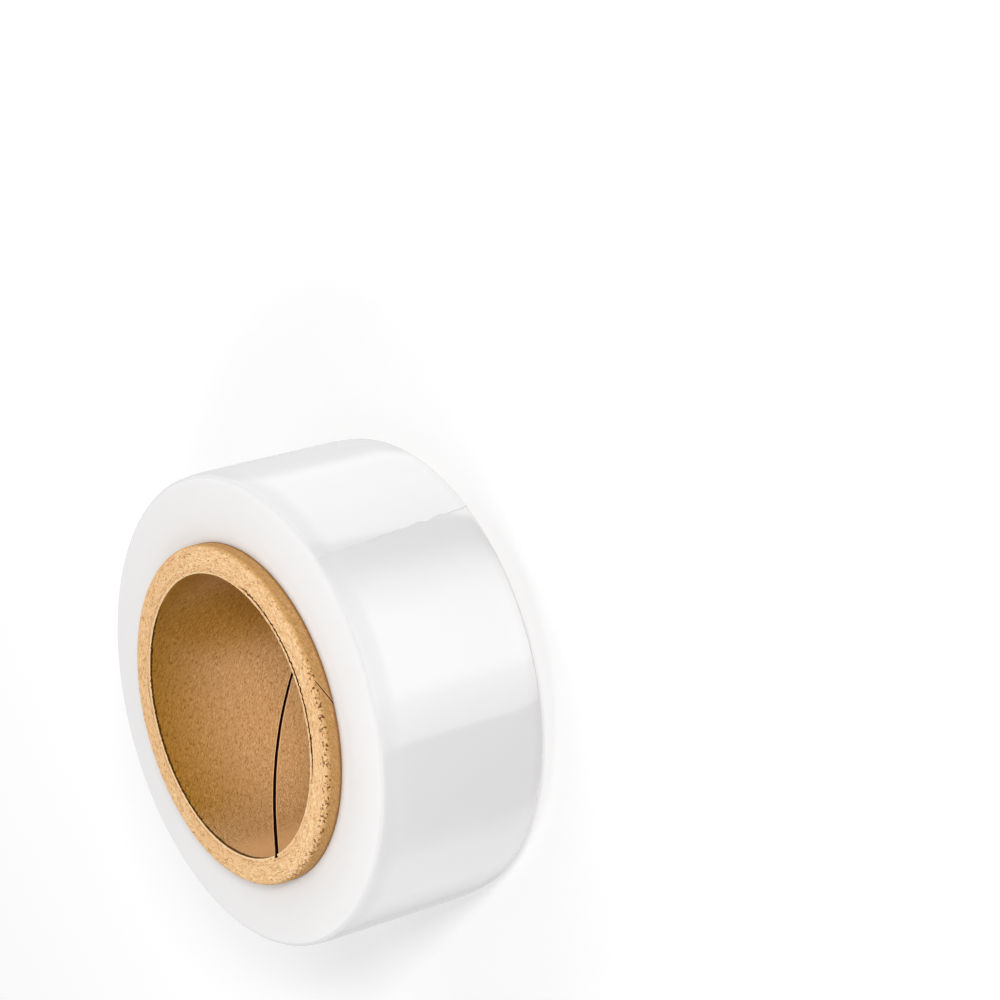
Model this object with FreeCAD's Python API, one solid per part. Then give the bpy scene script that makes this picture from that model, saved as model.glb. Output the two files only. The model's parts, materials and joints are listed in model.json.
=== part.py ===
"""A bare hand roll of stretch wrap: clear film wound on a spiral-wound cardboard core.

The roll stands on one end of its core. The origin is at the middle of that end, +Z runs up
along the axis, and all sizes are in millimetres. Angles are in degrees, counted about +Z from +X.

The core is a thick tube of glued paper plies. Its innermost ply is one strip that runs round as a
helix, and the strip's two edges don't quite meet: they leave a narrow slot, one ply deep, that
crosses the bore. The outermost ply leaves a finer slot outside. On the upper end the innermost
ply has come loose from the next one along a short arc.

The film is wound on the core and stops short of both of its ends. Its outer turns draw in a little
towards the two edges of the film, the corners are round, and the last turn ends in a straight tail
that stands a film fold above the turn below it.
"""
import FreeCAD, Part

import math
import os

Vector = FreeCAD.Vector

# Core
core_bore = 76.2              # inside diameter, the usual 3 inch core
core_wall = 7.4
core_length = 60.5
core_outer_bevel = 0.8        # worn outer corner of the cut ends
core_inner_bevel = 0.3        # inner corner of the cut ends

# Paper plies of the core
ply_thickness = 0.9
ply_pitch = 150.0             # how far a strip climbs along the tube in one turn
bore_slot_width = 0.9         # between the edges of the innermost strip
bore_slot_angle = 214.3       # where that slot meets the upper end
skin_slot_width = 0.4         # between the edges of the outermost strip
skin_slot_depth = 0.35
skin_slot_angle = 303.0       # where that slot meets the upper end
split_start_angle = 272.0     # the loose stretch of the innermost ply, on the upper end
split_end_angle = 320.0
split_gap = 0.25
split_depth = 1.6

# Film
film_width = 50.8             # 2 inches
film_gauge = 0.0203           # thickness of one layer, 80 gauge
film_length = 304800.0        # 1000 feet
film_edge_round = 1.2         # round corner of the wound film
film_shoulder_width = 5.5     # strip beside each edge that draws in
film_shoulder_drop = 0.35     # how far it draws in
film_tail_step = 0.15         # height of the tail over the turn below it
film_tail_angle = 328.0       # where the tail ends

core_inner_radius = core_bore / 2
core_outer_radius = core_inner_radius + core_wall
film_bottom = (core_length - film_width) / 2
film_outer_radius = math.sqrt(core_outer_radius ** 2 + film_length * film_gauge / math.pi)

up = Vector(0, 0, 1)
origin = Vector(0, 0, 0)


def at(radius, height):
    """A point of a half section, in the plane of X and Z."""
    return Vector(radius, 0, height)


def wire_through(edges):
    """One closed face from edges that follow each other."""
    return Part.Face(Part.Wire(Part.__sortEdges__(edges)))


def quarter_arc(start, end, centre, radius):
    """The quarter circle from start to end, about centre."""
    towards = (start + end) * 0.5 - centre
    middle = centre + towards.normalize() * radius
    return Part.Arc(start, middle, end).toShape()


def tube_section():
    """Half section of the cut tube, with its four bevelled corners."""
    corners = [
        at(core_inner_radius, core_inner_bevel),
        at(core_inner_radius + core_inner_bevel, 0),
        at(core_outer_radius - core_outer_bevel, 0),
        at(core_outer_radius, core_outer_bevel),
        at(core_outer_radius, core_length - core_outer_bevel),
        at(core_outer_radius - core_outer_bevel, core_length),
        at(core_inner_radius + core_inner_bevel, core_length),
        at(core_inner_radius, core_length - core_inner_bevel),
    ]
    return Part.Face(Part.makePolygon(corners + corners[:1]))

def ply_slot(radius, width, depth, top_angle):
    """The helical slot that a strip's edges leave, cut to both sides of radius by depth."""
    run_out = depth + width
    slope = ply_pitch / 360.0
    start_height = -run_out
    height = core_length + 2 * run_out
    start_angle = top_angle - (core_length - start_height) / slope
    helix = Part.makeHelix(ply_pitch, height, radius)
    lean = math.atan(ply_pitch / (2 * math.pi * radius))
    across = Vector(0, -math.sin(lean), math.cos(lean)) * (width / 2)
    outward = Vector(depth, 0, 0)
    start = Vector(radius, 0, 0)
    corners = [start - across - outward, start + across - outward,
               start + across + outward, start - across + outward]
    section = Part.makePolygon(corners + corners[:1])
    slot = Part.Wire(helix.Edges).makePipeShell([section], True, True)
    slot.rotate(origin, up, start_angle)
    slot.translate(Vector(0, 0, start_height))
    return slot


def ply_split():
    """The crack behind the loose stretch of the innermost ply, open at the upper end."""
    low = core_length - split_depth
    radius = core_inner_radius + ply_thickness
    corners = [at(radius, low), at(radius + split_gap, low),
               at(radius + split_gap, core_length + split_gap), at(radius, core_length + split_gap)]
    section = Part.Face(Part.makePolygon(corners + corners[:1]))
    crack = section.revolve(origin, up, split_end_angle - split_start_angle)
    crack.rotate(origin, up, split_start_angle)
    return crack


def make_core():
    tube = tube_section().revolve(origin, up, 360)
    bore_slot = ply_slot(core_inner_radius, bore_slot_width, ply_thickness, bore_slot_angle)
    skin_slot = ply_slot(core_outer_radius, skin_slot_width, skin_slot_depth, skin_slot_angle)
    return tube.cut(bore_slot).cut(skin_slot).cut(ply_split())


def film_section(outer_radius):
    """Half section of the wound film from its axis out, shoulders and round corners included."""
    edge_radius = outer_radius - film_shoulder_drop
    face_radius = edge_radius - film_edge_round
    shoulder_run = film_shoulder_width - film_edge_round
    shoulder_radius = (shoulder_run ** 2 + film_shoulder_drop ** 2) / (2 * film_shoulder_drop)
    half_turn = math.asin(shoulder_run / shoulder_radius) / 2
    top = film_bottom + film_width

    def corner_and_shoulder(face, inward):
        """The round corner and the shoulder at one end of the film."""
        beside = at(face_radius, face)
        edge = at(edge_radius, face + inward * film_edge_round)
        centre = at(face_radius, face + inward * film_edge_round)
        flush = at(outer_radius, face + inward * film_shoulder_width)
        halfway = at(outer_radius - shoulder_radius * (1 - math.cos(half_turn)),
                     flush.z - inward * shoulder_radius * math.sin(half_turn))
        corner = quarter_arc(beside, edge, centre, film_edge_round)
        shoulder = Part.Arc(edge, halfway, flush).toShape()
        return beside, flush, [corner, shoulder]

    low_face, low_flush, low_edges = corner_and_shoulder(film_bottom, 1)
    high_face, high_flush, high_edges = corner_and_shoulder(top, -1)
    lines = [
        Part.LineSegment(at(0, film_bottom), low_face).toShape(),
        Part.LineSegment(low_flush, high_flush).toShape(),
        Part.LineSegment(high_face, at(0, top)).toShape(),
        Part.LineSegment(at(0, top), at(0, film_bottom)).toShape(),
    ]
    return wire_through(low_edges + high_edges + lines)


def make_film():
    """Two half turns: one about the roll's axis, and one about an axis half a step off it,
    so that the outside stands one step proud where the tail ends and sinks to nothing behind it."""
    offset = film_tail_step / 2
    outer_half = film_section(film_outer_radius).revolve(origin, up, 180)
    inner_half = film_section(film_outer_radius - offset).revolve(origin, up, 180)
    inner_half.rotate(origin, up, 180)
    inner_half.translate(Vector(-offset, 0, 0))
    wound = outer_half.fuse(inner_half).removeSplitter()
    wound.rotate(origin, up, film_tail_angle)
    bore = Part.makeCylinder(core_outer_radius, film_width, Vector(0, 0, film_bottom))
    return wound.cut(bore)


def save(name, shape):
    """Writes one closed solid to its own file and prints what it measures."""
    solids = shape.Solids
    assert len(solids) == 1 and solids[0].isValid(), name
    solids[0].exportStep(os.path.join("parts", name + ".step"))
    box = solids[0].optimalBoundingBox(False)
    size = "%.2f %.2f %.2f" % (box.XLength, box.YLength, box.ZLength)
    print(name, "volume %.0f" % solids[0].Volume, "size", size)


os.makedirs("parts", exist_ok=True)
save("cardboard_core", make_core())
save("wound_film", make_film())
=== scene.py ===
# %% [markdown]
# A hand roll of stretch film, wound on a wide core of brown paper plies.
#
# The solids of the roll are already there: a tube with helical slots, and a ring of wound film.
# They are right in size and place, but they are smooth. This lesson builds a finer mesh for each of
# the two pieces inside the space of its solid, and gives each surface a material of its own. All
# lengths are in metres, and +Z is the axis of the roll, which stands on one end of its core.

# %% The frame that the pieces are built around
import json
import math

import bpy
import numpy as np
from mathutils import Matrix, Vector, noise


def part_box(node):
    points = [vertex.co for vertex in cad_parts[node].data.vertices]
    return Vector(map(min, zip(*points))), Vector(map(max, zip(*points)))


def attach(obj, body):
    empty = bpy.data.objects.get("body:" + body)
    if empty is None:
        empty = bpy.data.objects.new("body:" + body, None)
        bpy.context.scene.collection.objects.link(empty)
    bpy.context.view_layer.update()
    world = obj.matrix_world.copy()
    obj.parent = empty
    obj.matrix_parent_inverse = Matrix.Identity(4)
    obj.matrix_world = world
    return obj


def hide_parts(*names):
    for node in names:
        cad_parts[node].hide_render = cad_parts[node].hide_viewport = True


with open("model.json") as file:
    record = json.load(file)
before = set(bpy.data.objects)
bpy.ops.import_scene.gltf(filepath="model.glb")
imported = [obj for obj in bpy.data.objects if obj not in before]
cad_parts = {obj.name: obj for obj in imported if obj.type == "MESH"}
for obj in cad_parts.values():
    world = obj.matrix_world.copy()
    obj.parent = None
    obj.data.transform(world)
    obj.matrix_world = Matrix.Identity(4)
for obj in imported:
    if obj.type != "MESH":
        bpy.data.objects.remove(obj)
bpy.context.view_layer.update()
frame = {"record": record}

mm = 0.001

# %% Sizes that come from the frame
_, core_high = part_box("cardboard_core")
film_low, film_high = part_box("wound_film")
mounts = {mount["name"]: mount for mount in frame["record"]["mounts"]}

core_length = core_high.z
core_outer_radius = core_high.x
core_bore_radius = mounts["core_bore"]["dims"]["r_mm"] * mm
film_bottom, film_top = film_low.z, film_high.z
film_radius = (film_high.x - film_low.x) / 2
print("core", round(core_length, 4), "long; film", round(film_radius, 5), "in radius")

# %% [markdown]
# The camera is settled first. A long lens stands about a metre away, and its picture has +X
# upwards, so the standing roll looks as if it lies on its side. With the place of the camera and the
# point that it looks at, the turn of the camera follows from which way is up in the picture.

# %% Camera
camera_place = Vector((360.289, -722.906, 518.518)) * mm
camera_aim = Vector((41.296, -0.948, -27.944)) * mm
picture_up = Vector((1, 0, 0))
lens_length = 127.75          # on Blender's own 36 mm wide sensor


def add_camera():
    """Sets a camera at its place, turned to its aim, with picture_up upwards."""
    backwards = (camera_place - camera_aim).normalized()
    right = picture_up.cross(backwards).normalized()
    upwards = backwards.cross(right)
    turn = Matrix((right, upwards, backwards)).transposed().to_4x4()
    data = bpy.data.cameras.new("camera")
    data.lens = lens_length
    data.clip_start = 0.01
    camera = bpy.data.objects.new("camera", data)
    camera.matrix_world = Matrix.Translation(camera_place) @ turn
    bpy.context.scene.collection.objects.link(camera)
    bpy.context.scene.camera = camera
    return camera


add_camera()
print("camera", round(camera_place.length, 3), "from the origin")

# %% [markdown]
# Both pieces are rings: take one half section through the wall, and sweep it once round the axis.
# So both meshes can be one grid of points that closes on itself both ways. Each row of the grid is
# a ring, each column is one copy of the section, and a bump or a slot is only a shift of some of
# the points. A lathe modifier would spin a section too, but then no single point could be moved.
# The grid gives clean four-sided faces everywhere, with no hole to fill.

# %% A closed ring from a grid of points
def ring_piece(name, radius, angle, height, row_finish, materials):
    """A mesh from three grids that hold the cylinder coordinates of its points."""
    rows, columns = radius.shape
    points = np.stack([radius * np.cos(angle), radius * np.sin(angle), height], axis=-1)
    index = np.arange(rows * columns).reshape(rows, columns)
    above = np.roll(index, -1, axis=0)
    quads = np.stack([index, above, np.roll(above, -1, axis=1), np.roll(index, -1, axis=1)], axis=-1)
    mesh = bpy.data.meshes.new(name)
    mesh.from_pydata(points.reshape(-1, 3).tolist(), [], quads.reshape(-1, 4).tolist())
    for material in materials:
        mesh.materials.append(material)
    mesh.polygons.foreach_set("material_index", np.repeat(row_finish, columns).astype(np.int32))
    mesh.polygons.foreach_set("use_smooth", np.ones(rows * columns, bool))
    mesh.update()
    piece = bpy.data.objects.new(name, mesh)
    bpy.context.scene.collection.objects.link(piece)
    return piece


def noise_grid(*coordinates):
    """Perlin noise, from -1 to 1, at each point of a grid of coordinates."""
    grids = np.broadcast_arrays(*coordinates)
    flat = zip(*(grid.ravel() for grid in grids))
    values = [noise.noise(point) for point in flat]
    return np.array(values).reshape(grids[0].shape)


def smooth_step(low, high, value):
    """0 below low, 1 above high, and a smooth rise between them."""
    share = np.clip((value - low) / (high - low), 0, 1)
    return share * share * (3 - 2 * share)


# %% [markdown]
# The section of a piece is a list of rows. A row says how far it is from the inner wall to the
# outer wall, from 0 to 1, how far it is then moved outwards, how high it lies, and which finish its
# faces have. Walls are straight runs of rows and corners are short arcs of them.

# %% Helpers that write the rows of a section
def wall_rows(side, low, high, count, finish):
    """Rows along the inner wall, side 0, or the outer wall, side 1."""
    return [(side, 0.0, height, finish) for height in np.linspace(low, high, count)]


def corner_rows(side, height, outward, upward, size, count, finish, from_wall):
    """Rows round a corner of the given size, which starts on the wall or on the cut face."""
    rows = []
    for step in range(1, count + 1):
        turn = math.pi / 2 * step / (count + 1)
        if not from_wall:
            turn = math.pi / 2 - turn
        shift = outward * size * (1 - math.cos(turn))
        rows.append((side, shift, height + upward * size * (1 - math.sin(turn)), finish))
    return rows


def face_rows(shifts, height, finish):
    """Rows across a cut face, each at its share of the wall's thickness."""
    return [(share, move, height, finish) for share, move in shifts]


# %% [markdown]
# The core is made of strips of paper that run round as a helix. Its columns run round with them,
# so that the slots between the edges of a strip, one in the bore and a finer one outside, lie along
# columns and can be sunk straight into the wall. Near a slot some extra columns make its lips and
# its floor. A boolean cut would give the same slot, but with long thin faces round the helix.

# %% The columns of the core
ply_pitch = 150 * mm          # how far a strip climbs along the tube in one turn
ply_thickness = 0.9 * mm
bore_slot_width = 0.9 * mm
bore_slot_angle = math.radians(214.3)
skin_slot_width = 0.42 * mm
skin_slot_depth = 0.35 * mm
skin_slot_angle = math.radians(303.0)
core_column_count = 800
lip_width = 0.06 * mm
pale_lip = 0.38 * mm          # the torn white edge beside a slot
twist = 2 * math.pi / ply_pitch


def slot_columns(radius, width, depth, top_angle):
    """Where a slot's columns lie, how deep each of them is sunk, and how pale it is."""
    lean = math.atan(ply_pitch / (2 * math.pi * radius))
    half = width / math.sin(lean) / radius / 2
    lip, pale = lip_width / radius, pale_lip / radius
    centre = (top_angle - twist * core_length) % (2 * math.pi)
    right = np.array([half - lip, half, half + 0.5 * pale, half + 1.2 * pale])
    offsets = np.concatenate([-right[::-1], [0], right])
    depths = depth * np.array([0, 0, 0.08, 1, 1, 1, 0.08, 0, 0])
    paleness = np.array([0, 1, 0.8, 0, 0, 0, 0.8, 1, 0])
    return centre, centre + offsets, depths, paleness


def core_columns():
    """The angle of each column at the lower end, with its depth in the bore and in the skin."""
    even = np.linspace(0, 2 * math.pi, core_column_count, endpoint=False)
    bore = slot_columns(core_bore_radius, bore_slot_width, ply_thickness, bore_slot_angle)
    skin = slot_columns(core_outer_radius, skin_slot_width, skin_slot_depth, skin_slot_angle)
    apart = math.pi / core_column_count
    for _, angles, _, _ in (bore, skin):
        even = even[(even < angles[0] - apart) | (even > angles[-1] + apart)]
    angles = np.sort(np.concatenate([even, bore[1], skin[1]]))
    bore_depth = np.interp(angles, bore[1], bore[2], left=0, right=0)
    skin_depth = np.interp(angles, skin[1], skin[2], left=0, right=0)
    bore_pale = np.interp(angles, bore[1], bore[3], left=0, right=0)
    skin_pale = np.interp(angles, skin[1], skin[3], left=0, right=0)
    return angles, (bore_depth, bore_pale, bore[0]), (skin_depth, skin_pale, skin[0])


column_angle, (bore_depth, bore_pale, bore_seam), (skin_depth, skin_pale, skin_seam) = core_columns()
print("core columns", len(column_angle))

# %% [markdown]
# The cut ends are the part that the eye goes to. A saw has left them fuzzy, their outer corner has
# crumbled, and on the upper end a stretch of the innermost ply has come loose and left a crack
# behind it. The bore is much calmer: only the fine ribs of the paper, along the strip. The crack
# is part of the section: a few of its rows go down to a floor, which rises where the ply still holds.

# %% The rows of the core
core_outer_round = 1.5 * mm
core_inner_round = 0.3 * mm
split_gap = 0.55 * mm         # how wide the crack behind the loose ply is
split_depth = 1.6 * mm
crack_lip = 0.1 * mm          # the level edge on both sides of the crack
split_start, split_end = math.radians(262), math.radians(352)
finish_cut, finish_bore, finish_skin = 0, 1, 2


def cut_face_shifts(count):
    """From the bore to the skin, clear of both corners."""
    return [(share, core_inner_round * (1 - share) - core_outer_round * share)
            for share in np.linspace(0, 1, count)]


def core_rows():
    """The section of the core, up the bore, over the upper end, down the skin and back."""
    top, inner, outer = core_length, core_inner_round, core_outer_round
    rows = wall_rows(0, inner, top - inner, 34, finish_bore)
    rows += corner_rows(0, top, 1, -1, inner, 2, finish_cut, True)
    near, far = ply_thickness, ply_thickness + split_gap
    crack = [(0, move, top - down, finish_cut)
             for move, down in ((near - crack_lip, 0), (near, 0), (near, split_depth),
                                (far, split_depth), (far, 0), (far + crack_lip, 0))]
    across = face_rows(cut_face_shifts(22), top, finish_cut)
    rows += across[:2] + crack + across[7:]       # the crack takes the place of five rows
    rows += corner_rows(1, top, -1, -1, outer, 8, finish_cut, False)
    bare_top, bare_low = film_top - mm, film_bottom + mm      # the rows are wider apart between
    rows += wall_rows(1, top - outer, bare_top, 11, finish_skin)
    rows += wall_rows(1, bare_top, bare_low, 12, finish_skin)[1:-1]
    rows += wall_rows(1, bare_low, outer, 7, finish_skin)
    rows += corner_rows(1, 0, -1, 1, outer, 4, finish_cut, True)
    rows += face_rows(cut_face_shifts(9)[::-1], 0, finish_cut)
    rows += corner_rows(0, 0, 1, 1, inner, 1, finish_cut, False)
    return rows


rows = core_rows()
row_share, row_shift, row_height, row_finish = (np.array(values) for values in zip(*rows))
share, shift = row_share[:, None], row_shift[:, None]
in_bore, on_skin, on_cut = ((row_finish == finish)[:, None]
                            for finish in (finish_bore, finish_skin, finish_cut))
print("core rows", len(rows))

# %% [markdown]
# With the section and the columns known, every point has a place on a clean tube. Wear then moves
# it by noise that depends only on where it is, so neighbours move alike and the result is the same
# each time. A displacement texture could do this too, but it can't tell the crack from the face
# beside it. The same steps also note how pale the torn lips at each point are, and how much painted
# shade it gets in the slots and the crack, for the material.

# %% How strong the wear is
bore_rib = 0.035 * mm         # height of the paper's ribs in the bore
skin_rib = 0.03 * mm
cut_fuzz = 0.11 * mm          # how rough the cut ends are
fuzz_grain, fine_fuzz_grain = 0.9 * mm, 0.42 * mm
fuzz_top = 0.06 * mm          # the highest fuzz, which lies at the full length of the core
ply_line = 0.05 * mm          # how far the glue lines between plies stand back
corner_fuzz = 0.16 * mm
corner_reach = 1.1 * mm       # how far from the outer corner wear still shows
crumb_depth = 0.55 * mm
crumb_grain = 0.75 * mm
crumb_start, crumb_end = math.radians(222), math.radians(303)
crack_shut = 0.02 * mm        # how deep the crack is where it has closed
crack_shift = 0.1 * mm        # how far both walls of the crack are moved outwards
crack_wobble = 0.35 * mm
crack_opens, crack_closes = 0.25, 0.15             # over this much of the turn, in radians
neck_start, neck_end, neck = 0.6, 0.5, 0.45        # narrower from there to the end, by that share
slot_wobble = 0.12 * mm
slot_wave = 2.2 * mm


# %% Patterns that the wear is made of
def strip_coordinates(angle_at_foot, height, radius, seam):
    """How far a point is along its strip and across it, measured from the strip's edge."""
    lean = math.atan(ply_pitch / (2 * math.pi * radius))
    round_the_tube = radius * ((angle_at_foot - seam) % (2 * math.pi))
    along = round_the_tube * math.cos(lean) + height / math.sin(lean)
    return along, round_the_tube * math.sin(lean) + 0 * height


def strip_noise(foot, height, radius, seam, length, width, layer):
    """Noise whose grains are drawn out along the strip."""
    along, across = strip_coordinates(foot, height, radius, seam)
    return noise_grid(along / length, across / width, layer)


def round_noise(x, y, height, size, layer):
    """Noise whose grains have one size in all directions."""
    return noise_grid(x / size, y / size, height / size + layer)


def crack_opening(turn):
    """How far the crack is open, from 0 to 1: it narrows towards one end, and is ragged."""
    opening = smooth_step(split_start, split_start + crack_opens, turn)
    opening *= 1 - neck * smooth_step(split_end - neck_start, split_end - neck_end, turn)
    opening *= 1 - smooth_step(split_end - crack_closes, split_end, turn)
    return opening * (0.35 + 0.65 * smooth_step(-0.3, 0.15, noise_grid(turn * 45, 3.0, 0.0)))


def near_corner(radius, from_end):
    """1 at the outer corner of a cut end, and 0 where its wear no longer reaches."""
    return np.exp(-(np.hypot(core_outer_radius - radius, from_end) / corner_reach) ** 2)


# %% The points of the core
def open_crack(radius, height, turn):
    """Opens the crack behind the loose ply; also gives the painted shade on its walls and where its
    floor is.
    """
    opening = crack_opening(turn)
    floor = on_cut & (share == 0) & (np.abs(core_length - height - split_depth) < 1e-9)
    height = np.where(floor, core_length - crack_shut - (split_depth - crack_shut) * opening, height)
    beside = on_cut & (share == 0) & (shift > 0.8 * ply_thickness)
    ragged = noise_grid(turn * 42, 7.0, 0.0)
    outer_wall = shift > ply_thickness + 0.5 * split_gap
    ragged = ragged + 0.5 * noise_grid(turn * 25, 11.0, 0.0) * outer_wall
    radius = radius + beside * crack_shift
    radius = radius + beside * crack_wobble * ragged
    # painted shade on the walls of the crack, deeper where it is open
    walls = beside & (shift > 0.97 * ply_thickness) & (shift < ply_thickness + 1.03 * split_gap)
    return radius, height, np.where(walls, opening, 0.0), floor


def raise_ribs(radius, foot, height):
    """Gives the paper its ribs, in the bore and outside, clear of the slots."""
    rib = strip_noise(foot, height, core_bore_radius, bore_seam, 3.2 * mm, 0.75 * mm, 1.0)
    broad = strip_noise(foot, height, core_bore_radius, bore_seam, 14 * mm, 9 * mm, 5.0)
    radius = radius - in_bore * (bore_rib * rib + 1.5 * bore_rib * broad) * (bore_depth == 0)
    rib = strip_noise(foot, height, core_outer_radius, skin_seam, 2.6 * mm, 0.8 * mm, 9.0)
    return radius + on_skin * skin_rib * rib * (skin_depth == 0)


def fray_ends(radius, angle, height, turn, crack_floor):
    """Makes the cut ends fuzzy and their outer corners worn, inside the full length."""
    x, y = radius * np.cos(angle), radius * np.sin(angle)
    fuzz = round_noise(x, y, height, fuzz_grain, 0)
    fuzz += 0.6 * round_noise(x, y, height, fine_fuzz_grain, 20)
    ply = np.cos(math.pi * (radius - core_bore_radius) / ply_thickness) ** 8
    rise = cut_fuzz * fuzz - ply_line * ply
    upper_fuzz = np.minimum(rise, fuzz_top) - fuzz_top
    lower_fuzz = np.maximum(0.05 * mm - rise * 0.4, 0)
    flat = on_cut & ~crack_floor
    height = height + flat * np.where(height > core_length / 2, upper_fuzz, lower_fuzz)

    crumbling = smooth_step(crumb_start, crumb_start + 0.3, turn)
    crumbling *= 1 - smooth_step(crumb_end - 0.2, crumb_end, turn)
    crumb = smooth_step(0.12, 0.5, round_noise(x, y, height, crumb_grain, 50))
    bite = crumb_depth * crumbling * crumb + corner_fuzz * np.abs(fuzz)
    edge = near_corner(radius, core_length - height)
    radius = radius - edge * bite * 0.6
    height = height - edge * bite * 0.7
    return radius - near_corner(radius, height) * corner_fuzz * np.abs(fuzz), height


def waver_slots(angle, foot, height):
    """Lets the edges of both slots waver a little."""
    for seam, width, base, near in ((bore_seam, bore_slot_width, core_bore_radius, in_bore),
                                    (skin_seam, skin_slot_width, core_outer_radius, on_skin)):
        off = (foot - seam + math.pi) % (2 * math.pi) - math.pi
        close = np.abs(off) < 1.7 * width / base
        wave = noise_grid(height / slot_wave, np.sign(off) * 7.0, 0.5)
        angle = angle + near * close * np.sign(off) * slot_wobble / base * wave
    return angle


def core_points():
    """Radius, angle and height of every point, the painted shade of its slots and crack, and how pale
    its torn lips are.
    """
    foot, height = np.meshgrid(column_angle, row_height)
    inner = core_bore_radius + bore_depth
    outer = core_outer_radius - skin_depth
    radius = (1 - share) * inner + share * outer + shift
    angle = foot + twist * height
    turn = angle % (2 * math.pi)

    radius, height, dark, crack_floor = open_crack(radius, height, turn)
    radius = raise_ribs(radius, foot, height)
    radius, height = fray_ends(radius, angle, height, turn, crack_floor)
    angle = waver_slots(angle, foot, height)

    # painted shade in the floors of the slot in the bore and the slot in the skin
    dark = np.maximum(dark, in_bore * bore_depth / ply_thickness)
    dark = np.maximum(dark, 0.42 * on_skin * skin_depth / skin_slot_depth)
    pale = in_bore * bore_pale + 0.4 * on_skin * skin_pale
    return radius, angle, height, dark, pale


core_radius, core_angle, core_height, core_gap_shade, core_pale = core_points()
print("core points", core_radius.size)

# %% [markdown]
# The film is wound so tight that its ends are nearly flat, and its outer turns draw in a little
# towards both edges. The last turn ends in a tail. It was torn off, so its edge isn't quite
# straight, and it stands a little over the turn below it. Hundreds of turns could be wound one by
# one, but none of them could be told apart. One ring does, whose radius sinks slowly over half a
# turn and jumps back up at the tail.

# %% The rows and points of the film
film_edge_round = 1.2 * mm
film_shoulder_width = 6.4 * mm
film_shoulder_drop = 0.35 * mm
tail_step = 0.15 * mm
tail_angle = math.radians(328.6)
tail_wobble = 0.55 * mm       # how far the torn edge strays from a straight line
tail_edge = 0.05 * mm         # how wide the step at the tail is
tail_slant = math.radians(0.08) / mm
tail_lift, tail_lift_reach = 0.10 * mm, math.radians(3.2)
film_column_count = 720
finish_side, finish_end = 0, 1


def film_rows():
    """The section of the film, up its inner turn, over the top, down the outside and back."""
    rounding = film_edge_round
    rows = wall_rows(0, film_bottom, film_top, 3, finish_end)
    shares = np.linspace(0, 1, 26)[1:]
    rows += face_rows([(share, -rounding * share) for share in shares], film_top, finish_end)
    rows += corner_rows(1, film_top, -1, -1, rounding, 6, finish_side, False)
    rows += wall_rows(1, film_top - rounding, film_bottom + rounding, 56, finish_side)
    rows += corner_rows(1, film_bottom, -1, 1, rounding, 6, finish_side, True)
    shares = np.linspace(1, 0, 13)[:-1]
    rows += face_rows([(share, -rounding * share) for share in shares], film_bottom, finish_end)
    return rows


def shoulder_drop(height):
    """How far the outside draws in at a height, as an arc beside each edge."""
    to_edge = np.minimum(height - film_bottom, film_top - height)
    into = np.clip((film_shoulder_width - to_edge) / (film_shoulder_width - film_edge_round), 0, 1)
    return film_shoulder_drop * (0.35 * into + 0.65 * into ** 2)


def film_points(rows):
    """Radius, angle and height of every point of the film."""
    share, shift, height, _ = (np.array(values)[:, None] for values in zip(*rows))
    lip = tail_edge / film_radius
    even = np.linspace(0, 2 * math.pi, film_column_count, endpoint=False) + lip
    columns = np.sort(np.concatenate([even, [2 * math.pi - lip, 2 * math.pi - 3 * lip]]))
    columns, height = np.meshgrid(columns, height[:, 0])
    unwound = smooth_step(math.pi, 2 * math.pi, columns)
    outside = film_radius - tail_step * unwound - shoulder_drop(height)
    outside = outside + tail_lift * np.exp(-columns / tail_lift_reach)
    radius = (1 - share) * core_outer_radius + share * outside + shift
    ragged = noise_grid(height / (3.5 * mm), 0.0, 4.0) + 0.5 * noise_grid(height / (1.2 * mm), 0.0, 8.0)
    near_tail = np.exp(-(np.minimum(columns, 2 * math.pi - columns) / 0.06) ** 2)
    angle = columns + tail_angle + near_tail * tail_wobble / film_radius * ragged * share
    angle = angle - tail_slant * (height - core_length / 2)
    return radius, angle, height


film_section = film_rows()
film_finish = np.array([row[3] for row in film_section])
film_radii, film_angle, film_height = film_points(film_section)
print("film points", film_radii.size)

# %% [markdown]
# Finishes come next. The paper of the core has one effect in all three of its materials: short
# pale and dark flecks of fibre, and a soft cloudiness. It is a node group with its own inputs, so
# that each material can set the size and the strength. The group puts out only two masks and a
# height; the shader stays in the material.

# %% Node helpers
def new_group(name, inputs, outputs):
    """An empty shader node group with its inputs, each with its default, and its outputs."""
    group = bpy.data.node_groups.new(name, "ShaderNodeTree")
    for label, kind, value in inputs:
        socket = group.interface.new_socket(label, in_out="INPUT", socket_type=kind)
        if value is not None:
            socket.default_value = value
    for label, kind in outputs:
        group.interface.new_socket(label, in_out="OUTPUT", socket_type=kind)
    start = group.nodes.new("NodeGroupInput")
    end = group.nodes.new("NodeGroupOutput")
    return group, start, end


def add(tree, kind, **settings):
    """A node with its settings."""
    node = tree.nodes.new(kind)
    for key, value in settings.items():
        setattr(node, key, value)
    return node


def plug(tree, value, socket):
    """Links a socket to a socket, or writes a plain value into it."""
    if isinstance(value, bpy.types.NodeSocket):
        tree.links.new(value, socket)
    else:
        socket.default_value = value


def maths(tree, operation, first, second=None, third=None):
    """One step of arithmetic; its result."""
    node = add(tree, "ShaderNodeMath", operation=operation)
    for value, socket in zip((first, second, third), node.inputs):
        if value is not None:
            plug(tree, value, socket)
    return node.outputs[0]


def span(tree, value, low, high, to_low=0.0, to_high=1.0):
    """A value brought from one range to another, with a smooth start and end."""
    node = add(tree, "ShaderNodeMapRange", interpolation_type="SMOOTHSTEP")
    for entry, socket in zip((value, low, high, to_low, to_high), node.inputs):
        plug(tree, entry, socket)
    return node.outputs[0]


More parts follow.
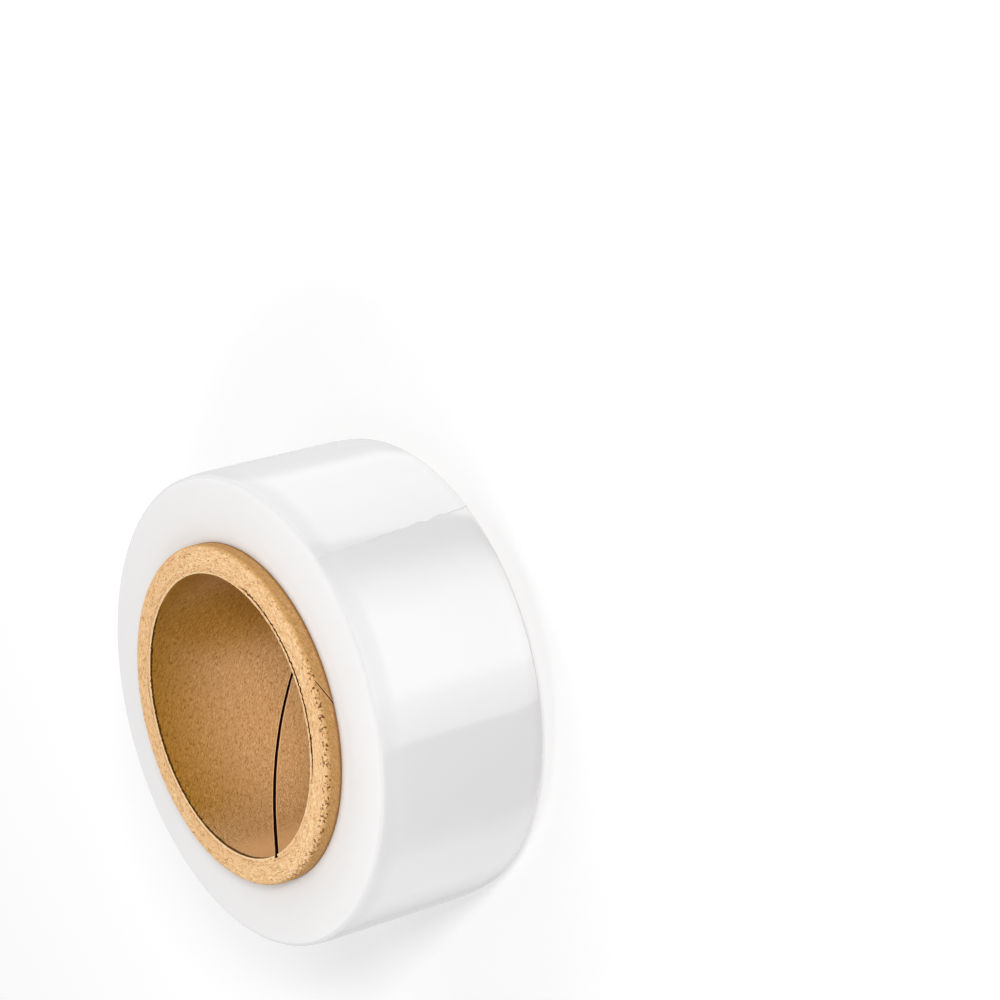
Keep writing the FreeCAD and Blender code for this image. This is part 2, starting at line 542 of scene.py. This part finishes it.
def grain(tree, vector, scale, detail=2.0, roughness=0.5):
    """The plain noise at a scale, in waves to the metre."""
    node = add(tree, "ShaderNodeTexNoise")
    for value, label in ((vector, "Vector"), (scale, "Scale"), (detail, "Detail"),
                         (roughness, "Roughness")):
        plug(tree, value, node.inputs[label])
    return node.outputs["Fac"]


def tint(tree, share, first, second, blend="MIX"):
    """Two colours mixed by a share."""
    node = add(tree, "ShaderNodeMix", data_type="RGBA", blend_type=blend)
    for value, socket in ((share, node.inputs[0]), (first, node.inputs[6]), (second, node.inputs[7])):
        plug(tree, value, socket)
    return node.outputs[2]


def separate(tree, vector):
    """The three parts of a vector."""
    node = add(tree, "ShaderNodeSeparateXYZ")
    tree.links.new(vector, node.inputs[0])
    return node.outputs


def position(tree):
    """The place of the point that is shaded, and its three parts."""
    place = add(tree, "ShaderNodeNewGeometry").outputs["Position"]
    return place, separate(tree, place)


def from_axis(tree, x, y):
    """How far a point is from the axis of the roll."""
    return maths(tree, "SQRT", maths(tree, "MULTIPLY_ADD", x, x, maths(tree, "MULTIPLY", y, y)))


# %% Material helpers
def new_material(name):
    """A material with a bare Principled shader, its tree and the shader."""
    material = bpy.data.materials.new(name)
    material.use_nodes = True
    return material, material.node_tree, material.node_tree.nodes["Principled BSDF"]


def bump(tree, height, distance, strength, shader):
    """A height pattern as a bump under the shader."""
    node = add(tree, "ShaderNodeBump")
    plug(tree, height, node.inputs["Height"])
    plug(tree, distance, node.inputs["Distance"])
    plug(tree, strength, node.inputs["Strength"])
    tree.links.new(node.outputs["Normal"], shader.inputs["Normal"])


def colour(red, green, blue):
    """A colour given as it looks on a screen, from 0 to 255, in the shader's own linear values."""
    linear = [((part / 255 + 0.055) / 1.055) ** 2.4 for part in (red, green, blue)]
    return (*linear, 1.0)


# %% Paper fibre, shared by the three card materials
def make_fibre_group():
    """Fibre flecks and cloudiness from a coordinate that has been stretched along the fibre."""
    group, start, end = new_group(
        "paper_fibre",
        [("Vector", "NodeSocketVector", None), ("Fleck scale", "NodeSocketFloat", 900.0),
         ("Cloud scale", "NodeSocketFloat", 90.0), ("Fleck amount", "NodeSocketFloat", 0.5)],
        [("Light", "NodeSocketFloat"), ("Dark", "NodeSocketFloat"), ("Height", "NodeSocketFloat")])
    vector, scale = start.outputs["Vector"], start.outputs["Fleck scale"]
    amount = start.outputs["Fleck amount"]
    fine = grain(group, vector, scale, 3.0, 0.6)
    coarse = grain(group, vector, maths(group, "MULTIPLY", scale, 0.37), 2.0, 0.5)
    cloud = grain(group, vector, start.outputs["Cloud scale"], 3.0, 0.55)
    mixed = maths(group, "MULTIPLY_ADD", fine, 0.72, maths(group, "MULTIPLY", coarse, 0.28))
    light = span(group, mixed, 0.5, 0.62)
    dark = span(group, mixed, 0.48, 0.36)
    cloudy = span(group, cloud, 0.35, 0.7, 0.5, 1.0)
    plug(group, maths(group, "MULTIPLY", maths(group, "MULTIPLY", light, amount), cloudy),
         end.inputs["Light"])
    plug(group, maths(group, "MULTIPLY", dark, amount), end.inputs["Dark"])
    plug(group, mixed, end.inputs["Height"])
    return group


fibre_group = make_fibre_group()
print("fibre group nodes", len(fibre_group.nodes))


def place_fibre(tree, vector, fleck_scale, cloud_scale, amount):
    """The fibre group in a material, with that material's own values."""
    node = add(tree, "ShaderNodeGroup", node_tree=fibre_group)
    for value, label in ((vector, "Vector"), (fleck_scale, "Fleck scale"),
                         (cloud_scale, "Cloud scale"), (amount, "Fleck amount")):
        plug(tree, value, node.inputs[label])
    return node.outputs["Light"], node.outputs["Dark"], node.outputs["Height"]


# %% [markdown]
# The three card materials differ in colour and in which way the fibres lie. On the cut ends they
# lie round the tube, as the plies do. In the bore and outside they run along the strip. So the
# coordinates are attributes of the mesh, which count round the rim or along the strip, and across.
# A photo of paper laid on the tube would stretch and show its seam; noise in these coordinates
# follows the paper everywhere.

# %% Helpers for the card materials
torn_lip = colour(250, 208, 158)
# painted shade in the slots and the crack of the core
slot_shade_brown = colour(80, 28, 0)


def fibre_vector(tree, name, stretch):
    """A coordinate that the mesh keeps as an attribute, drawn out along its first axis."""
    attribute = add(tree, "ShaderNodeAttribute", attribute_name=name)
    mapping = add(tree, "ShaderNodeMapping")
    tree.links.new(attribute.outputs["Vector"], mapping.inputs["Vector"])
    mapping.inputs["Scale"].default_value = (1 / stretch, 1.0, 1.0)
    return mapping.outputs["Vector"]


def split_attribute(tree, name):
    """The three parts of an attribute of the mesh."""
    attribute = add(tree, "ShaderNodeAttribute", attribute_name=name)
    return separate(tree, attribute.outputs["Vector"])


def card_colour(tree, light, dark, base, pale, deep):
    """The base colour with its pale and its dark fibres."""
    return tint(tree, dark, tint(tree, light, base, pale), deep)


def worn_and_shaded_colour(tree, base, gap_shade_colour):
    """The base colour with the torn pale lips, and painted shade in the slots and the crack that the
    mesh marks.
    """
    dark, pale, _ = split_attribute(tree, "wear_and_gap_shade")
    base = tint(tree, maths(tree, "MULTIPLY", pale, 0.9), base, torn_lip)
    return tint(tree, span(tree, dark, 0.05, 0.5), base, gap_shade_colour)


def facing_mask(tree, x, y, degrees, low, high):
    """1 on the side of the roll that faces a direction, 0 on the other side."""
    side = math.radians(degrees)
    facing = maths(tree, "MULTIPLY_ADD", y, math.sin(side) / core_bore_radius,
                   maths(tree, "MULTIPLY", x, math.cos(side) / core_bore_radius))
    return span(tree, facing, low, high)


# %% [markdown]
# A saw breaks the fibres of the cut ends off short, so they stand up pale, with brown pits between
# them, darkened further with painted shade. The pits lie round the tube, and the outer corner takes
# the colour of the outermost ply, with crumbs on the side where it has crumbled most, darkened with
# painted shade like the pits. A pale band along the inner rim is a painted highlight of its edge.

# %% The sawn ends
cut_tan = colour(242, 195, 142)
cut_pale_fibre = colour(255, 226, 180)
cut_dark_fibre = colour(202, 150, 95)
cut_lip_highlight = colour(255, 224, 180)
corner_brown = colour(207, 158, 97)
pit_shade_brown = colour(96, 44, 6)
crumb_side = 262              # degrees round the axis


def make_cut_card():
    """The sawn ends: pale tan, with fuzz, pits along the plies with painted shade in them, a crumbling
    outer edge, and a painted highlight along the inner rim.
    """
    material, tree, shader = new_material("cut_card")
    place, (x, y, _) = position(tree)
    vector = fibre_vector(tree, "ring", 3.2)
    radius = split_attribute(tree, "ring")[1]
    light, dark, height = place_fibre(tree, vector, 3300.0, 110.0, 1.0)
    base = card_colour(tree, light, dark, cut_tan, cut_pale_fibre, cut_dark_fibre)
    # painted highlight: a pale band along the edge of the inner rim
    lip = span(tree, radius, core_bore_radius + 0.6 * mm, core_bore_radius + 0.2 * mm)
    base = tint(tree, maths(tree, "MULTIPLY", lip, 0.6), base, cut_lip_highlight)
    pits = span(tree, grain(tree, vector, 2900.0, 1.0), 0.32, 0.27)
    rough = grain(tree, place, 1400.0, 3.0)
    ragged = maths(tree, "MULTIPLY_ADD", rough, 1.6 * mm, radius)
    skin = span(tree, ragged, core_outer_radius + 0.1 * mm, core_outer_radius + 0.9 * mm)
    base = tint(tree, skin, base, corner_brown)
    crumbs = maths(tree, "MULTIPLY", span(tree, ragged, core_outer_radius - 1.0 * mm, core_outer_radius),
                   span(tree, grain(tree, place, 1250.0, 1.0), 0.44, 0.36))
    crumbs = maths(tree, "MULTIPLY", crumbs, facing_mask(tree, x, y, crumb_side, 0.70, 0.95))
    pits = maths(tree, "MAXIMUM", pits, crumbs)
    # painted shade in the pits and the crumbs, over the brown of the paper
    base = tint(tree, maths(tree, "MULTIPLY", pits, 0.85), base, pit_shade_brown)
    tree.links.new(worn_and_shaded_colour(tree, base, slot_shade_brown), shader.inputs["Base Color"])
    shader.inputs["Roughness"].default_value = 0.9
    shader.inputs["Specular IOR Level"].default_value = 0.05
    bump(tree, maths(tree, "SUBTRACT", height, pits), 0.16 * mm, 0.9, shader)
    return material


cut_card = make_cut_card()
print("nodes of the cut card", len(cut_card.node_tree.nodes))

# %% [markdown]
# The innermost ply is plain brown kraft paper. One side of the bore has painted shade, deeper and
# warmer, most of all near the rim, and the side across from it has painted light and is paler. Under
# the rim a dark line of painted shadow stands for the shade of the saw's burr, and reaches further
# down in one place.

# %% The bore
bore_brown = colour(186, 144, 96)
bore_pale_fibre = colour(219, 177, 129)
bore_dark_fibre = colour(138, 94, 48)
bore_painted_light = colour(228, 178, 124)
# painted shade in the slot of the bore
bore_slot_shade_brown = colour(30, 6, 0)
bore_painted_shade = (0.68, 0.58, 0.2, 1.0)                # what the paper's colour is multiplied by
rim_shadow_brown = colour(48, 22, 4)
bore_painted_shade_side, bore_painted_light_side = 70, 200         # degrees round the axis
rim_shadow_side, rim_shadow_deep_side = 140, 205


def make_bore_card():
    """The innermost ply: brown kraft, with painted shade on one side, painted light on another, and a
    painted shadow line under the rim.
    """
    material, tree, shader = new_material("bore_card")
    vector = fibre_vector(tree, "strip", 2.4)
    light, dark, height = place_fibre(tree, vector, 2700.0, 60.0, 0.85)
    base = card_colour(tree, light, dark, bore_brown, bore_pale_fibre, bore_dark_fibre)
    place, (x, y, z) = position(tree)
    # painted shade: darker and warmer on one side of the bore, most of all near the rim
    rim = maths(tree, "MULTIPLY", facing_mask(tree, x, y, bore_painted_shade_side, -0.25, 0.25),
                span(tree, z, 0.55 * core_length, 1.05 * core_length))
    side = facing_mask(tree, x, y, bore_painted_shade_side, 0.88, 1.03)
    base = tint(tree, maths(tree, "MAXIMUM", rim, side), base, bore_painted_shade, blend="MULTIPLY")
    # painted light: paler on the side of the bore across from the painted shade
    painted_light_mask = facing_mask(tree, x, y, bore_painted_light_side, 0.86, 1.0)
    base = tint(tree, maths(tree, "MULTIPLY", painted_light_mask, 0.8), base, bore_painted_light)
    # a painted shadow line under the rim, as a burr would cast, reaching further down on one side
    reach = maths(tree, "MULTIPLY_ADD", facing_mask(tree, x, y, rim_shadow_deep_side, 0.7, 1.0), -0.45 * mm,
                  core_length - 0.85 * mm)
    reach = maths(tree, "MULTIPLY_ADD", grain(tree, place, 1100.0, 2.0), -0.9 * mm,
                  maths(tree, "ADD", reach, 0.45 * mm))
    rim_shadow_mask = maths(tree, "MULTIPLY", facing_mask(tree, x, y, rim_shadow_side, 0.05, 0.3),
                 maths(tree, "GREATER_THAN", z, reach))
    base = tint(tree, maths(tree, "MULTIPLY", rim_shadow_mask, 0.85), base, rim_shadow_brown)
    tree.links.new(worn_and_shaded_colour(tree, base, bore_slot_shade_brown), shader.inputs["Base Color"])
    shader.inputs["Roughness"].default_value = 0.85
    shader.inputs["Specular IOR Level"].default_value = 0.05
    bump(tree, height, 0.14 * mm, 0.8, shader)
    return material


bore_card = make_bore_card()
print("nodes of the bore card", len(bore_card.node_tree.nodes))

# %% The outside of the core
skin_brown = colour(193, 146, 91)
skin_pale_fibre = colour(224, 178, 124)
skin_dark_fibre = colour(162, 115, 62)
film_contact_shade_brown = colour(112, 68, 24)


def make_skin_card():
    """The outermost ply, a little darker than the cut, with painted shade just above the film, where the
    two meet.
    """
    material, tree, shader = new_material("skin_card")
    light, dark, height = place_fibre(tree, fibre_vector(tree, "strip", 2.2), 2600.0, 80.0, 0.8)
    base = card_colour(tree, light, dark, skin_brown, skin_pale_fibre, skin_dark_fibre)
    _, (_, _, z) = position(tree)
    # painted shade on the skin just above the film
    foot = span(tree, z, film_top + 1.1 * mm, film_top)
    base = tint(tree, maths(tree, "MULTIPLY", foot, 0.75), base, film_contact_shade_brown)
    tree.links.new(worn_and_shaded_colour(tree, base, slot_shade_brown), shader.inputs["Base Color"])
    shader.inputs["Roughness"].default_value = 0.75
    shader.inputs["Specular IOR Level"].default_value = 0.1
    bump(tree, height, 0.08 * mm, 0.6, shader)
    return material


card_materials = [cut_card, bore_card, make_skin_card()]
print("card materials", [material.name for material in card_materials])

# %% [markdown]
# One layer of stretch film is clear. Hundreds of them on each other scatter the light and look
# milky, yet the outermost layer still mirrors the room. So the body of the film is a pale, softly
# translucent material, and a clear coat on it carries the sharp reflections. Glass would be the
# wrong start: it would show the core through the film. On the ends only the edges of the layers
# show, which are satin and not glossy.

# %% The film materials
film_milk, film_milk_pale = colour(239, 238, 238), colour(242, 241, 241)
film_edge_painted_shade = colour(235, 234, 234)
film_end_painted_light = colour(252, 251, 251)
film_painted_light_side = 310          # degrees round the axis


def make_film(name, roughness, coat, coat_roughness):
    """Milky film under a clear coat, with its base colour not yet linked."""
    material, tree, shader = new_material(name)
    place, parts = position(tree)
    cloud = grain(tree, place, 60.0, 2.0)
    base = tint(tree, cloud, film_milk, film_milk_pale)
    shader.inputs["Roughness"].default_value = roughness
    shader.inputs["Specular IOR Level"].default_value = 0.0
    shader.inputs["Coat Weight"].default_value = coat
    shader.inputs["Coat Roughness"].default_value = coat_roughness
    shader.inputs["Subsurface Weight"].default_value = 0.5
    shader.inputs["Subsurface Radius"].default_value = (1.0, 1.0, 1.0)
    shader.inputs["Subsurface Scale"].default_value = 4.0 * mm
    return material, tree, shader, base, parts


def make_film_side():
    """The outer turn, with painted shade where it draws in beside the ends."""
    material, tree, shader, base, (_, _, z) = make_film("film_side", 0.35, 1.0, 0.02)
    # painted shade beside both edges of the outer turn
    upper = span(tree, z, film_top - 7 * mm, film_top - 1.5 * mm)
    lower = span(tree, z, film_bottom + 4 * mm, film_bottom + mm)
    base = tint(tree, maths(tree, "MAXIMUM", upper, lower), base, film_edge_painted_shade)
    tree.links.new(base, shader.inputs["Base Color"])
    return material


def make_film_end():
    """The edges of the turns, satin, with painted light beside the core on one side."""
    material, tree, shader, base, (x, y, _) = make_film("film_end", 0.4, 0.3, 0.3)
    # painted light on the end beside the core, on one side only
    inner = span(tree, from_axis(tree, x, y), core_outer_radius + 4.5 * mm, core_outer_radius + mm)
    inner = maths(tree, "MULTIPLY", inner, facing_mask(tree, x, y, film_painted_light_side, -0.2, 0.5))
    base = tint(tree, inner, base, film_end_painted_light)
    tree.links.new(base, shader.inputs["Base Color"])
    return material


film_materials = [make_film_side(), make_film_end()]
print("film materials", [material.name for material in film_materials])

# %% [markdown]
# Now the two pieces can be made. Each one rides on the body of the roll and replaces its plain solid.

# %% The core piece
core = ring_piece("core_tube", core_radius, core_angle, core_height, row_finish, card_materials)
core.data.set_sharp_from_angle(angle=math.radians(60))
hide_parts("cardboard_core")
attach(core, "root")
print("core faces", len(core.data.polygons))

# %% The coordinates, the wear and the painted shade of slots and crack that the core's materials read
foot_angle, _ = np.meshgrid(column_angle, row_height)
strip = np.zeros((core_radius.size, 3))
for finish, base, seam in ((finish_bore, core_bore_radius, bore_seam),
                           (finish_skin, core_outer_radius, skin_seam)):
    along, across = strip_coordinates(foot_angle, core_height, base, seam)
    chosen = np.repeat(row_finish == finish, core_radius.shape[1])
    if finish == finish_bore:
        chosen |= np.repeat((row_share == 0), core_radius.shape[1])
    strip[chosen] = np.stack([along.ravel(), across.ravel(), 0 * along.ravel()], axis=-1)[chosen]
round_the_rim = core_outer_radius * ((foot_angle - bore_seam) % (2 * math.pi))
ring = np.stack([round_the_rim, core_radius, core_height], axis=-1)
# first part: painted shade of the slots and the crack; second part: the pale torn lips
wear_and_gap_shade = np.stack([core_gap_shade, core_pale, 0 * core_gap_shade], axis=-1)
for name, values in (("strip", strip), ("ring", ring), ("wear_and_gap_shade", wear_and_gap_shade)):
    core.data.attributes.new(name, "FLOAT_VECTOR", "POINT").data.foreach_set("vector", values.ravel())
print("core attributes", [name for name in ("strip", "ring", "wear_and_gap_shade") if name in core.data.attributes])

# %% The film piece
film = ring_piece("film_roll", film_radii, film_angle, film_height, film_finish, film_materials)
film.data.set_sharp_from_angle(angle=math.radians(50))
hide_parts("wound_film")
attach(film, "root")
print("film faces", len(film.data.polygons))

# %% [markdown]
# The floor is white and plain. It keeps the shadow of the roll, but other rays pass through it, as
# if the roll stood on a lit glass table: light also comes in from below, and the gloss of the film
# mirrors the room, and not the floor. It glows a little, and more away from the roll, so that the
# shade close to the roll fades to white in the picture.

# %% Floor
floor_half = 6.0
floor_white = (0.95, 0.95, 0.95, 1)
glow_near, glow_away = 0.10, 0.21
glow_rise_start, glow_rise_end = 0.095, 0.145      # metres from the axis


def make_floor():
    """A wide plane that the camera sees as white, with the shadow on it."""
    corners = [(-floor_half, -floor_half, 0), (floor_half, -floor_half, 0),
               (floor_half, floor_half, 0), (-floor_half, floor_half, 0)]
    mesh = bpy.data.meshes.new("floor")
    mesh.from_pydata(corners, [], [(0, 1, 2, 3)])
    floor = bpy.data.objects.new("floor", mesh)
    bpy.context.scene.collection.objects.link(floor)
    material, tree, shader = new_material("floor")
    shader.inputs["Base Color"].default_value = floor_white
    shader.inputs["Roughness"].default_value = 1.0
    shader.inputs["Specular IOR Level"].default_value = 0.0
    shader.inputs["Emission Color"].default_value = (1, 1, 1, 1)
    rays = add(tree, "ShaderNodeLightPath")
    seen = maths(tree, "MAXIMUM", rays.outputs["Is Camera Ray"], rays.outputs["Is Glossy Ray"])
    seen = maths(tree, "MAXIMUM", seen, rays.outputs["Is Transmission Ray"])
    _, (x, y, _) = position(tree)
    glow = span(tree, from_axis(tree, x, y), glow_rise_start, glow_rise_end, glow_near, glow_away)
    plug(tree, maths(tree, "MULTIPLY", seen, glow), shader.inputs["Emission Strength"])
    mesh.materials.append(material)
    floor.visible_diffuse = False
    floor.visible_glossy = False
    floor.visible_shadow = False
    return floor


make_floor()
print("floor", 2 * floor_half, "wide")

# %% [markdown]
# The room isn't the same for matt and for glossy surfaces. Matt ones are lit by a soft tent, which
# gives less light from overhead and from the side that is up in the picture, and much less from the
# front, near the horizon, where the key lamp takes over. Gloss sees softboxes instead, all round
# the roll and below the horizon, because the camera looks down on the upright side of the film. The
# film draws them out into bright bands along its axis, and shows its own milky grey between them.

# %% The tent that matt surfaces see
tent_level = 0.96
tent_lean = -0.12             # change of the tent towards +X, which is up in the picture
tent_overhead = -0.14
front_side = Vector((0.31, -0.95))
front_shade_above = 1.0       # how much less comes from the front, over the horizon and under it
front_shade_below = 0.4
horizon_blur = 0.1


def tent_light(tree, x, y, z):
    """How much light matt surfaces get from a direction."""
    towards = maths(tree, "MULTIPLY_ADD", y, front_side.y, maths(tree, "MULTIPLY", x, front_side.x))
    near_horizon = maths(tree, "SUBTRACT", 1.0, maths(tree, "ABSOLUTE", z))
    towards = maths(tree, "MULTIPLY", maths(tree, "MAXIMUM", towards, 0.0), near_horizon)
    change = span(tree, z, -horizon_blur, horizon_blur, -front_shade_below, -front_shade_above)
    tent = maths(tree, "MULTIPLY_ADD", x, tent_lean, tent_level)
    tent = maths(tree, "MULTIPLY_ADD", towards, change, tent)
    return maths(tree, "MULTIPLY_ADD", z, tent_overhead, tent)


# %% The softboxes that gloss sees
gloss_level = 0.85            # what gloss sees above and below the softboxes
softbox_level = 7.0
softbox_low, softbox_high = -55.0, -8.0            # degrees over the horizon
softbox_low_blur, softbox_high_blur = 5.0, 8.0
softbox_dim_start, softbox_dim_end = -32.5, -27.0
softbox_dim = 0.6             # the strength of the upper part of the softboxes
# each pair is an azimuth in degrees and the strength there
softboxes = [(0, 0.0), (5, 0.08), (8, 0.46), (20, 0.48), (35, 0.44), (50, 0.38), (60, 0.35),
             (68, 0.20), (75, 0.17), (145, 0.12), (158, 0.19), (170, 0.25), (195, 0.28),
             (212, 0.11), (229, 0.04), (260, 0.02), (263, 0.36), (280, 0.60), (287, 0.88),
             (312, 0.83), (322, 0.78), (337, 0.48), (346, 0.18), (352, 0.02)]


def softbox_ramp(tree, x, y):
    """The strength of the softboxes round the roll, as a colour ramp over the full turn."""
    turn = maths(tree, "DIVIDE", maths(tree, "ARCTAN2", y, x), 2 * math.pi)
    ramp = add(tree, "ShaderNodeValToRGB")
    tree.links.new(maths(tree, "WRAP", turn, 1.0, 0.0), ramp.inputs[0])
    elements = ramp.color_ramp.elements
    while len(elements) > 1:
        elements.remove(elements[-1])
    for number, (degrees, strength) in enumerate(softboxes):
        element = elements[0] if number == 0 else elements.new(degrees / 360)
        element.position = degrees / 360
        element.color = (strength, strength, strength, 1)
    return ramp.outputs["Color"]


def gloss_light(tree, x, y, z):
    """What gloss sees in a direction: the softboxes between two heights, and a level elsewhere."""
    rise = maths(tree, "MULTIPLY", maths(tree, "ARCSINE", z), 180 / math.pi)
    window = maths(tree, "MULTIPLY", span(tree, rise, softbox_low - softbox_low_blur, softbox_low),
                   span(tree, rise, softbox_high + softbox_high_blur, softbox_high))
    window = maths(tree, "MULTIPLY", window,
                   span(tree, rise, softbox_dim_start, softbox_dim_end, 1.0, softbox_dim))
    boxes = maths(tree, "MULTIPLY", softbox_ramp(tree, x, y), softbox_level)
    return maths(tree, "MULTIPLY_ADD", window, maths(tree, "SUBTRACT", boxes, gloss_level), gloss_level)


# %% The world
def blend(tree, share, first, second):
    """Two strengths mixed by a share."""
    node = add(tree, "ShaderNodeMix", data_type="FLOAT")
    for value, socket in zip((share, first, second), (node.inputs[0], node.inputs[2], node.inputs[3])):
        plug(tree, value, socket)
    return node.outputs[0]


def make_room():
    """The world: plain white for the camera, a tent for matt surfaces, softboxes for gloss."""
    world = bpy.data.worlds.new("room")
    bpy.context.scene.world = world
    world.use_nodes = True
    world.cycles.sampling_method = "NONE"
    tree = world.node_tree
    tree.nodes.clear()
    output = add(tree, "ShaderNodeOutputWorld")
    x, y, z = separate(tree, add(tree, "ShaderNodeTexCoord").outputs["Generated"])
    rays = add(tree, "ShaderNodeLightPath")
    strength = blend(tree, rays.outputs["Is Glossy Ray"], tent_light(tree, x, y, z),
                     gloss_light(tree, x, y, z))
    seen = maths(tree, "MAXIMUM", rays.outputs["Is Camera Ray"], rays.outputs["Is Transmission Ray"])
    background = add(tree, "ShaderNodeBackground")
    tree.links.new(blend(tree, seen, strength, 1.0), background.inputs["Strength"])
    tree.links.new(background.outputs[0], output.inputs["Surface"])
    return world


make_room()
print("softboxes", len(softboxes))

# %% [markdown]
# The lamps add what a room alone can't: the key lamp, close to the camera's direction, puts the
# roll's soft shadow on the floor. A lamp on the far side fills in there, and two small ones close to
# the upper end even out its tone. A spot under the floor shines up into the bore. None of them is
# mirrored in the film, so its bands stay as the softboxes make them.

# %% Lamps
roll_middle = Vector((0, 0, core_length / 2))


def add_lamp(name, kind, place, aim, power, **settings):
    """A lamp at its place, turned to its aim, that isn't mirrored in the roll."""
    data = bpy.data.lights.new(name, kind)
    data.energy = power
    for key, value in settings.items():
        setattr(data, key, value)
    lamp = bpy.data.objects.new(name, data)
    turn = (Vector(place) - Vector(aim)).to_track_quat("Z", "Y")
    lamp.matrix_world = Matrix.Translation(place) @ turn.to_matrix().to_4x4()
    lamp.visible_glossy = False
    bpy.context.scene.collection.objects.link(lamp)
    return lamp


for name, place, size, power in (("key_lamp", (0.521, -0.692, 0.530), 0.17, 4.15),
                                 ("far_lamp", (0.604, 0.72, 0.37), 0.4, 1.3),
                                 ("near_lamp", (0.075, -0.02, 0.185), 0.06, 0.012),
                                 ("low_lamp", (-0.06, -0.11, 0.196), 0.06, 0.035)):
    add_lamp(name, "AREA", place, roll_middle, power, shape="SQUARE", size=size)
add_lamp("bore_spot", "SPOT", (0.07, -0.085, -0.12), (-0.02, 0.028, 0.03), 0.85,
         spot_size=math.radians(24), spot_blend=1.0, shadow_soft_size=0.02)
print("lamps", len(bpy.data.lights))

# %% [markdown]
# The picture takes the colours as they are.

bpy.context.scene.view_settings.view_transform = "Standard"
